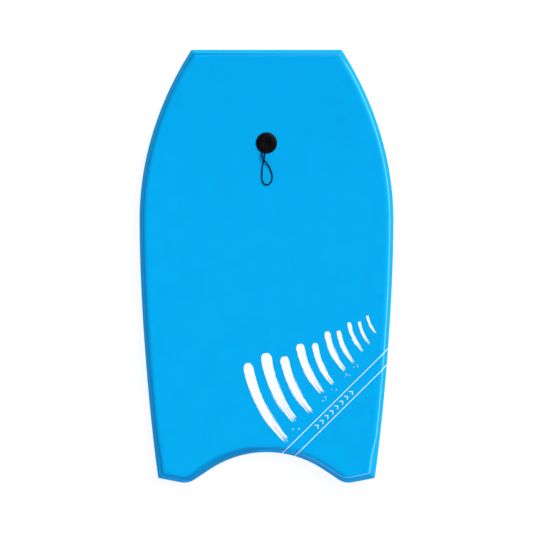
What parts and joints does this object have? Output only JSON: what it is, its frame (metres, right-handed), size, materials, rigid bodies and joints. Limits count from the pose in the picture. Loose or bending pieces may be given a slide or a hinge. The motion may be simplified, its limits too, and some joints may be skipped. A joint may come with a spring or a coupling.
{
  "type": "bodyboard",
  "caption": "Foam bodyboard with a straight nose, bevelled rails, a crescent tail, a slick underside and a screw-in leash plug with a cord loop.",
  "frame": {"origin": "middle of the board's plan, on the flat face of the slick underside that the board rests on", "axes": "+Z out of the deck, +Y from the crescent tail to the straight nose, +X to the rider's right when looking at the nose"},
  "size_m": [0.6126, 1.0414, 0.0834],
  "materials": {
    "deck_foam": "satin",
    "core_foam": "matte",
    "slick_plastic": "gloss",
    "rail_foam": "satin",
    "plug_plastic": "satin",
    "cord": "matte"
  },
  "bodies": {
    "board": {"deck_skin": "deck_foam", "foam_core": "core_foam", "slick_bottom": "slick_plastic", "rail_strip_left": "rail_foam", "rail_strip_right": "rail_foam", "nose_strip": "rail_foam", "tail_strip_left": "rail_foam", "tail_strip_centre": "rail_foam", "tail_strip_right": "rail_foam", "leash_plug_top": "plug_plastic", "leash_plug_base": "plug_plastic"},
    "string_swivel": {"string_knot": "cord"},
    "string_loop": {"string_loop": "cord"}
  },
  "joints": [
    {"name": "string_swivel_turn", "type": "hinge", "parent": "board", "child": "string_swivel", "pos_m": [0, 0.2973, 0.06363], "axis": [0, -0.067, 0.9978], "continuous": true},
    {"name": "string_lift", "type": "hinge", "parent": "string_swivel", "child": "string_loop", "pos_m": [0, 0.29702, 0.06772], "axis": [-1, 0, 0], "range_deg": [0, 90]}
  ]
}
